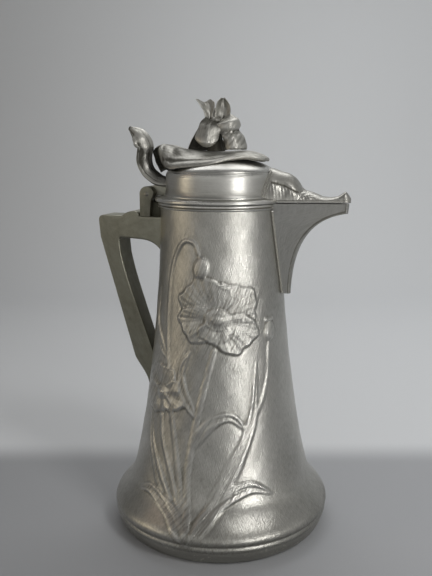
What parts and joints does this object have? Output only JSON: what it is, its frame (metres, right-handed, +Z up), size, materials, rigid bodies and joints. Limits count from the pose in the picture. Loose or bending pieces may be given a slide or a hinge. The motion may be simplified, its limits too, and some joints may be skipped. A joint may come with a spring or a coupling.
{
  "type": "lidded flagon",
  "caption": "Tall cast pewter flagon with a flared foot, a beak spout, an angular handle and a hinged domed lid that carries a thumbpiece, a draped leaf and a flower finial.",
  "frame": {"origin": "centre of the foot on the table", "axes": "+Z up along the flagon's axis, +X from the axis towards the spout, handle towards -X"},
  "size_m": [0.2064, 0.181, 0.3501],
  "materials": {
    "cast_pewter": "satin",
    "smooth_pewter": "satin",
    "dull_pewter": "satin",
    "pin_metal": "satin"
  },
  "bodies": {
    "flagon": {"body_wall": "cast_pewter", "foot_ring": "cast_pewter", "base_plate": "smooth_pewter", "mouth_collar": "smooth_pewter", "spout_beak": "smooth_pewter", "handle_arm": "dull_pewter", "handle_grip": "dull_pewter", "hinge_post": "dull_pewter", "hinge_pin": "pin_metal"},
    "lid": {"lid_flange": "smooth_pewter", "lid_drum": "smooth_pewter", "lid_dome": "smooth_pewter", "lid_bezel": "smooth_pewter", "lid_lug": "smooth_pewter", "thumbpiece": "cast_pewter", "spout_cover": "smooth_pewter", "cover_strap": "cast_pewter", "lid_leaf": "cast_pewter", "flower_stem": "cast_pewter", "flower_heart": "cast_pewter", "fall_side": "cast_pewter", "fall_spout": "cast_pewter", "fall_handle": "cast_pewter", "standard_handle": "cast_pewter", "standard_far": "cast_pewter", "standard_spout": "cast_pewter"}
  },
  "joints": [
    {"name": "lid_hinge", "type": "hinge", "parent": "flagon", "child": "lid", "pos_m": [-0.0593, 0, 0.274], "axis": [0, -1, 0], "range_deg": [0, 85]}
  ]
}
